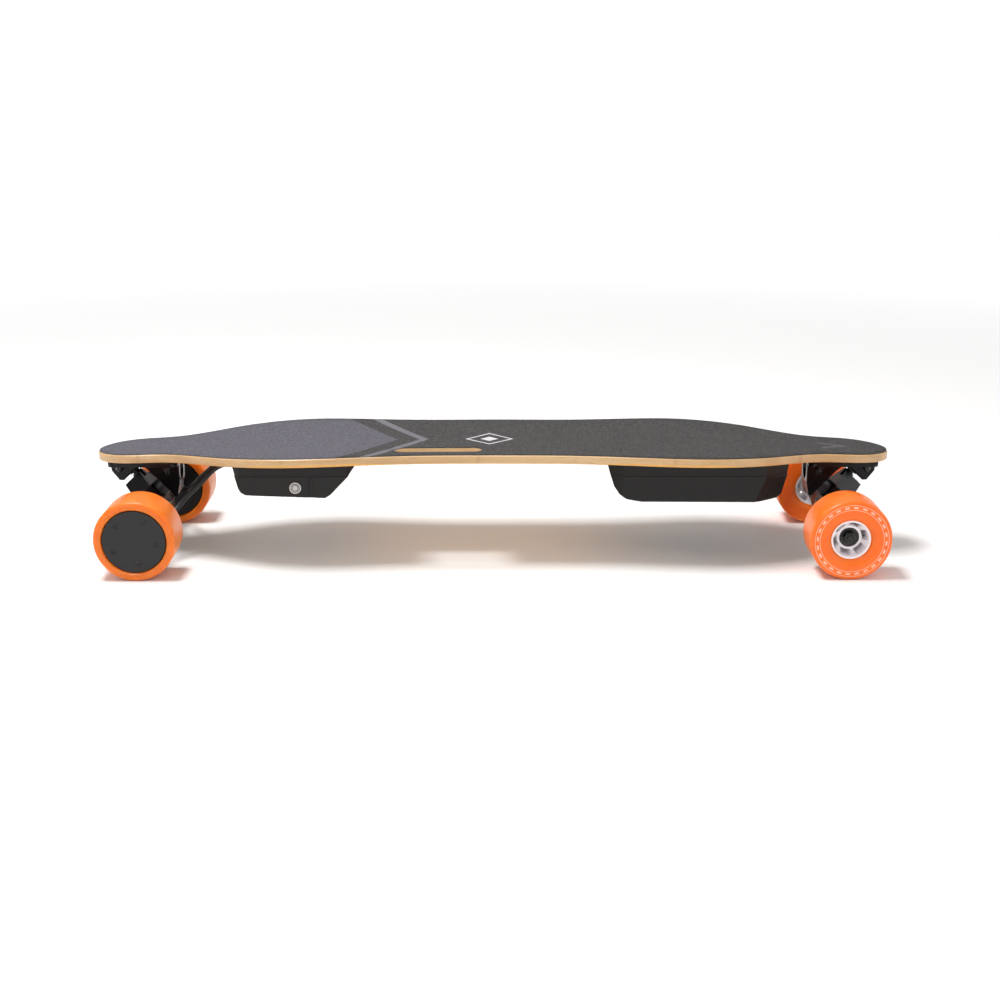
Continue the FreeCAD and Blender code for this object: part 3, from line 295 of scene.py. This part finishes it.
def urethane_material(name, printed_side=None):
    """Cast orange urethane: light goes in and glows at the rims. The tread has fine turning marks."""
    s = Shader(name)
    x, y, z = s.xyz()
    swirl = s.noise(32.0, 4.0, 0.6, distort=0.4)
    if printed_side is None:
        low, high = (0.74, 0.155, 0.005), (0.80, 0.185, 0.008)
    else:
        low, high = (0.90, 0.145, 0.004), (0.96, 0.180, 0.007)
    color = s.ramp(swirl, [(0.3, low), (0.7, high)])
    axle_x = FRONT_AXLE_X if printed_side is not None else REAR_AXLE_X
    dx = s.math("SUBTRACT", x, axle_x)
    dz = s.math("SUBTRACT", z, AXLE_Z)
    radius = s.math("SQRT", s.math("ADD", s.math("MULTIPLY", dx, dx), s.math("MULTIPLY", dz, dz)))
    rough = s.ramp(swirl, [(0.3, 0.30), (0.7, 0.42)])
    if printed_side is not None:
        outward = s.below(s.math("MULTIPLY", y, -printed_side), -PRINTED_FACE_Y, 0.0006)
        angle = s.math("ARCTAN2", dz, s.math("MULTIPLY", dx, -printed_side))
        rings = s.math("MAXIMUM", s.near(radius, PRINT_OUTER, PRINT_HALF_LINE, 0.0004),
                       s.near(radius, PRINT_INNER, PRINT_HALF_LINE, 0.0004))
        band = s.near(radius, (PRINT_OUTER + PRINT_INNER) / 2, 0.0009, 0.0006)
        even = s.below(s.math("SINE", s.math("MULTIPLY", angle, PRINT_DASHES)), 0.0, 0.2)
        inked = s.math("MAXIMUM", rings, s.math("MULTIPLY", even, band))
        inked = s.math("MULTIPLY", inked, outward)
        color = s.mix(s.math("MULTIPLY", inked, 0.75), color, (0.98, 0.74, 0.55))
    tread = s.below(s.math("MULTIPLY", radius, -1.0), -TREAD_RADIUS, 0.0008)
    dust = s.math("MULTIPLY", tread, s.ramp(s.noise(180.0, 5.0, 0.7), [(0.45, 0.0), (0.75, 0.35)]))
    color = s.mix(dust, color, (0.80, 0.27, 0.10))
    s.set(Base_Color=color, Roughness=rough, Subsurface_Weight=0.65, Subsurface_Scale=0.012,
          Subsurface_Radius=(1.0, 0.30, 0.06), Specular_IOR_Level=0.38, Coat_Weight=0.12, Coat_Roughness=0.2)
    lines = s.noise(1.0, 2.0, 0.5, s.mapped((60.0, 2600.0, 60.0)))
    s.bump(s.math("ADD", s.math("MULTIPLY", s.math("MULTIPLY", lines, tread), 0.8),
                  s.math("MULTIPLY", s.noise(700.0, 2.0), 0.25)), 0.00008, 0.6)
    return s.material


def coated_metal(name, base, rough, grain=2600.0, wear=(0.22, 0.22, 0.23)):
    """Powder coat: orange peel, faint dust, edges rubbed brighter."""
    s = Shader(name)
    peel = s.noise(grain, 3.0, 0.5)
    cloud = s.noise(40.0, 5.0, 0.6)
    edge = s.worn_edges(0.0006)
    color = s.mix(s.math("MULTIPLY", cloud, 0.3), base, tuple(min(1.0, c * 2.2 + 0.006) for c in base))
    color = s.mix(s.math("MULTIPLY", s.math("MULTIPLY", edge, cloud), 0.45), color, wear)
    s.set(Base_Color=color, Metallic=0.0, Specular_IOR_Level=0.22,
          Roughness=s.ramp(cloud, [(0.3, rough - 0.06), (0.7, rough + 0.08)]))
    s.bump(peel, 0.00006, 0.5)
    return s.material


def bare_metal(name, base, rough, stretch=(900.0, 900.0, 900.0), tint=None):
    """Turned or brushed metal with small scratches."""
    s = Shader(name)
    brush = s.noise(1.0, 4.0, 0.7, s.mapped(stretch))
    spots = s.noise(260.0, 4.0, 0.65)
    color = s.mix(s.ramp(spots, [(0.5, 0.0), (0.8, 0.5)]), base, tint or tuple(c * 0.55 for c in base))
    s.set(Base_Color=color, Metallic=1.0, Roughness=s.ramp(brush, [(0.3, rough - 0.07), (0.7, rough + 0.1)]))
    s.bump(brush, 0.00003, 0.4)
    return s.material


def moulded(name, base, rough, grain=1700.0, depth=0.00006, coat=0.0, gloss=0.5):
    """Moulded plastic or rubber with a fine etched texture."""
    s = Shader(name)
    pebble = s.cells(grain)
    fine = s.noise(grain * 0.7, 3.0)
    cloud = s.noise(25.0, 4.0)
    edge = s.worn_edges(0.0008)
    color = s.mix(s.math("MULTIPLY", cloud, 0.3), base, tuple(min(1.0, c * 1.6 + 0.004) for c in base))
    color = s.mix(s.math("MULTIPLY", edge, 0.25), color, tuple(min(1.0, c * 2.0 + 0.03) for c in base))
    s.set(Base_Color=color, Roughness=s.ramp(fine, [(0.3, rough - 0.05), (0.7, rough + 0.07)]),
          Specular_IOR_Level=gloss, Coat_Weight=coat, Coat_Roughness=0.3)
    s.bump(s.math("ADD", pebble, fine), depth, 0.5)
    return s.material


def cap_material():
    """Anodised charcoal disc: very fine blast over faint turning rings."""
    s = Shader("cap_anodised")
    x, _, z = s.xyz()
    dx, dz = s.math("SUBTRACT", x, REAR_AXLE_X), s.math("SUBTRACT", z, AXLE_Z)
    radius = s.math("SQRT", s.math("ADD", s.math("MULTIPLY", dx, dx), s.math("MULTIPLY", dz, dz)))
    blast = s.noise(2200.0, 3.0, 0.6)
    cloud = s.noise(30.0, 4.0)
    color = s.mix(s.math("MULTIPLY", cloud, 0.4), (0.0125, 0.0118, 0.0122), (0.020, 0.019, 0.0195))
    s.set(Base_Color=color, Metallic=0.25, Roughness=s.ramp(blast, [(0.3, 0.42), (0.7, 0.52)]))
    s.bump(s.math("ADD", blast, s.math("MULTIPLY", s.math("SINE", s.math("MULTIPLY", radius, 9000.0)), 0.12)),
           0.00004, 0.4)
    return s.material


BUTTON_GAP_SHADE_RADIUS = 0.0047
BUTTON_LAMP_RADIUS = 0.0031


def button_material():
    """Turned stainless with painted shade in the groove round the cap and a second dark ring inside it."""
    s = Shader("turned_stainless")
    x, _, z = s.xyz()
    low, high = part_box("power_button_cap")
    centre_x, centre_z = (low.x + high.x) / 2, (low.z + high.z) / 2
    dx, dz = s.math("SUBTRACT", x, centre_x), s.math("SUBTRACT", z, centre_z)
    radius = s.math("SQRT", s.math("ADD", s.math("MULTIPLY", dx, dx), s.math("MULTIPLY", dz, dz)))
    brush = s.noise(900.0, 3.0, 0.6)
    turning = s.math("SINE", s.math("MULTIPLY", radius, 14000.0))
    color = s.mix(s.math("MULTIPLY", brush, 0.5), (0.50, 0.48, 0.465), (0.36, 0.345, 0.335))
    # painted shade: a dark ring where the groove round the cap falls in shadow
    gap_shade = s.near(radius, BUTTON_GAP_SHADE_RADIUS, 0.00042, 0.0003)
    lamp = s.near(radius, BUTTON_LAMP_RADIUS, 0.0004, 0.0003)
    color = s.mix(gap_shade, color, (0.03, 0.03, 0.03))
    color = s.mix(s.math("MULTIPLY", lamp, 0.9), color, (0.05, 0.045, 0.045))
    s.set(Base_Color=color, Metallic=0.85, Roughness=s.ramp(brush, [(0.3, 0.24), (0.7, 0.38)]))
    s.bump(s.math("ADD", turning, brush), 0.00002, 0.5)
    return s.material


def laminated():
    s = Shader("stator_steel")
    _, y, _ = s.xyz()
    sheets = s.math("SINE", s.math("MULTIPLY", y, 9000.0))
    rust = s.noise(300.0, 4.0)
    color = s.mix(s.math("MULTIPLY", rust, 0.3), (0.32, 0.32, 0.34), (0.25, 0.2, 0.17))
    s.set(Base_Color=color, Metallic=1.0, Roughness=0.42)
    s.bump(sheets, 0.00008, 0.5)
    return s.material


def copper_wire():
    s = Shader("enamelled_copper")
    strands = s.math("SINE", s.math("MULTIPLY", s.noise(1.0, 1.0, 0.5, s.mapped((900.0, 60.0, 900.0))), 40.0))
    color = s.mix(s.noise(120.0), (0.80, 0.33, 0.13), (0.55, 0.20, 0.07))
    s.set(Base_Color=color, Metallic=0.9, Roughness=0.32)
    s.bump(strands, 0.0002, 0.7)
    return s.material


MATERIALS = {
    "grit": grip_material(),
    "maple": bamboo_material(),
    "cast_black": coated_metal("truck_powder_coat", (0.0028, 0.0026, 0.0028), 0.22, wear=(0.07, 0.07, 0.07)),
    "steel": bare_metal("zinc_steel", (0.52, 0.51, 0.50), 0.32),
    "black_steel": bare_metal("black_oxide_steel", (0.042, 0.040, 0.040), 0.34, tint=(0.13, 0.12, 0.11)),
    "bushing_urethane": moulded("bushing_urethane", (0.018, 0.018, 0.019), 0.42, coat=0.2),
    "pad_rubber": moulded("pad_rubber", (0.016, 0.016, 0.016), 0.7),
    "core_plastic": moulded("core_nylon", (0.90, 0.85, 0.88), 0.38, depth=0.00004, coat=0.25),
    "can_metal": coated_metal("motor_can_anodised", (0.007, 0.007, 0.007), 0.36),
    "cap_metal": cap_material(),
    "box_plastic": moulded("box_shell_plastic", (0.0042, 0.0037, 0.0037), 0.40, grain=1400.0, depth=0.00007,
                           gloss=0.30),
    "button_steel": button_material(),
    "copper": copper_wire(),
    "lamination": laminated(),
    "magnet": bare_metal("nickel_plate", (0.66, 0.64, 0.60), 0.2),
    "board_green": moulded("circuit_board", (0.012, 0.09, 0.035), 0.4, grain=600.0),
    "cell_wrap": moulded("cell_wrap", (0.03, 0.12, 0.36), 0.3, coat=0.5),
    "cable_jacket": moulded("cable_jacket", (0.006, 0.006, 0.006), 0.34, grain=900.0),
    "seal_foam": moulded("seal_foam", (0.02, 0.02, 0.02), 0.85, grain=700.0, depth=0.0003),
}
URETHANE_REAR = urethane_material("urethane_sleeve")
URETHANE_FRONT = {"front_left_tyre": urethane_material("urethane_tyre_left", 1),
                  "front_right_tyre": urethane_material("urethane_tyre_right", -1)}


# ---- CAD nodes: finish and softened edges ----
WELD_DISTANCE = 0.000004
SHARP_ANGLE = math.radians(35)
BEVELS = {"maple": 0.0007, "cast_black": 0.0009, "can_metal": 0.0004, "cap_metal": 0.0003,
          "box_plastic": 0.0012,
          "core_plastic": 0.0004, "steel": 0.0002, "black_steel": 0.0002}


def weld_seams(obj):
    weld = obj.modifiers.new("weld", "WELD")
    weld.merge_threshold = WELD_DISTANCE


def finish_node(name, slot):
    obj = NODES[name]
    if slot == "orange_urethane":
        material = URETHANE_FRONT.get(name, URETHANE_REAR)
    else:
        material = MATERIALS[slot]
    obj.data.materials.clear()
    obj.data.materials.append(material)
    for polygon in obj.data.polygons:
        polygon.material_index = 0
    weld_seams(obj)
    if slot in BEVELS:
        bevel = obj.modifiers.new("soft_edges", "BEVEL")
        bevel.width = BEVELS[slot]
        bevel.segments = 2
        bevel.limit_method = "ANGLE"
        bevel.angle_limit = SHARP_ANGLE
        bevel.harden_normals = False


SLOTS = {part["node"]: part["material_slot"] for part in frame["record"]["subparts"]}
for node_name, slot_name in SLOTS.items():
    finish_node(node_name, slot_name)


# ---- copies of the soft pieces ----
CABLE_CLAMP = (-0.366, 0.0, 0.054)
CABLE_GLAND = (-0.307, 0.0, 0.104)


def flexing_copy(node, name, near_body, far_body, start, end):
    """The CAD piece's shape again, as a copy with the original hidden; near_body, far_body, start and end are
    not used.
    """
    source = NODES[node]
    copy = bpy.data.objects.new(name, source.data.copy())
    bpy.context.scene.collection.objects.link(copy)
    copy.matrix_world = source.matrix_world.copy()
    weld_seams(copy)
    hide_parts(node)
    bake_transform(copy)


def middle(node):
    low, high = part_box(node)
    return (Vector(low) + Vector(high)) / 2


def squeezed_bushing(truck, place, axis, bodies):
    """A bushing copied, with the ends of its reach along the axis worked out."""
    node = truck + "_" + place + "_bushing"
    centre = middle(node)
    reaches = [(vertex.co - centre).dot(axis) for vertex in NODES[node].data.vertices]
    flexing_copy(node, node + "_flexing", *bodies, centre + min(reaches) * axis, centre + max(reaches) * axis)


for truck in ("front", "rear"):
    kingpin_axis = (middle(truck + "_roadside_bushing") - middle(truck + "_boardside_bushing")).normalized()
    squeezed_bushing(truck, "boardside", kingpin_axis, ("board", truck + "_truck"))
    squeezed_bushing(truck, "roadside", kingpin_axis, (truck + "_truck", "board"))
flexing_copy("motor_cables", "motor_cables_flexing", "rear_truck", "board", CABLE_CLAMP, CABLE_GLAND)


# ---- room, light and camera ----
WORLD_STRENGTH = 0.54
FLOOR_FADE = 1.5
FLOOR_SIZE = 60
CAMERA_RAY_STRENGTH = 1.05
LIGHTS = (("key", (-0.75, -0.1, 2.6), (0, 0, 0.0), (1.0, 0.7), 72),
          ("front", (-1.5, -2.2, 1.3), (0, 0, 0.08), (1.4, 1.0), 10),
          ("right", (2.2, -1.2, 1.0), (0, 0, 0.06), (0.9, 1.1), 9))
CAMERA_PLACE = (0.0030, -1.8079, 0.5611)
CAMERA_PITCH = math.radians(90 - 15.66)
CAMERA_YAW = math.radians(-0.152)
LENS = 57.58


def backdrop():
    """White sweep: a real floor near the board that turns into a lit white field further out."""
    bpy.ops.mesh.primitive_plane_add(size=FLOOR_SIZE, location=(0, 0, 0))
    floor = bpy.context.object
    floor.name = "floor"
    s = Shader("floor_white")
    x, y, _ = s.xyz()
    s.set(Base_Color=s.mix(s.noise(3.0), (0.90, 0.893, 0.885), (0.91, 0.903, 0.895)), Roughness=0.6)
    reach = s.math("SQRT", s.math("ADD", s.math("MULTIPLY", x, x), s.math("MULTIPLY", y, y)))
    near = s.below(reach, FLOOR_FADE, FLOOR_FADE)
    glow = s.add("ShaderNodeEmission")
    mixer = s.add("ShaderNodeMixShader")
    s.wire(near, mixer.inputs[0])
    s.tree.links.new(glow.outputs[0], mixer.inputs[1])
    s.tree.links.new(s.principled.outputs[0], mixer.inputs[2])
    s.tree.links.new(mixer.outputs[0], s.tree.nodes["Material Output"].inputs["Surface"])
    floor.data.materials.append(s.material)
    world = bpy.data.worlds.new("studio")
    bpy.context.scene.world = world
    world.use_nodes = True
    tree = world.node_tree
    ray = tree.nodes.new("ShaderNodeLightPath")
    strength = tree.nodes.new("ShaderNodeMapRange")
    strength.inputs["To Min"].default_value = WORLD_STRENGTH
    strength.inputs["To Max"].default_value = CAMERA_RAY_STRENGTH
    tree.links.new(ray.outputs["Is Camera Ray"], strength.inputs["Value"])
    background = tree.nodes["Background"]
    background.inputs["Color"].default_value = (1.0, 0.995, 0.99, 1.0)
    tree.links.new(strength.outputs[0], background.inputs["Strength"])
    bpy.context.scene.view_settings.view_transform = "Standard"
    bpy.context.scene.view_settings.look = "None"


def area_light(name, place, aim, size, power):
    data = bpy.data.lights.new(name, "AREA")
    data.shape = "RECTANGLE"
    data.size, data.size_y = size
    data.energy = power
    lamp = bpy.data.objects.new(name, data)
    bpy.context.scene.collection.objects.link(lamp)
    lamp.location = place
    lamp.rotation_euler = (Vector(aim) - Vector(place)).to_track_quat("-Z", "Y").to_euler()


def camera():
    data = bpy.data.cameras.new("camera")
    data.lens = LENS
    data.sensor_width = 36.0
    cam = bpy.data.objects.new("camera", data)
    bpy.context.scene.collection.objects.link(cam)
    cam.location = CAMERA_PLACE
    cam.rotation_euler = (CAMERA_PITCH, 0, CAMERA_YAW)
    bpy.context.scene.camera = cam


backdrop()
for light in LIGHTS:
    area_light(*light)
camera()
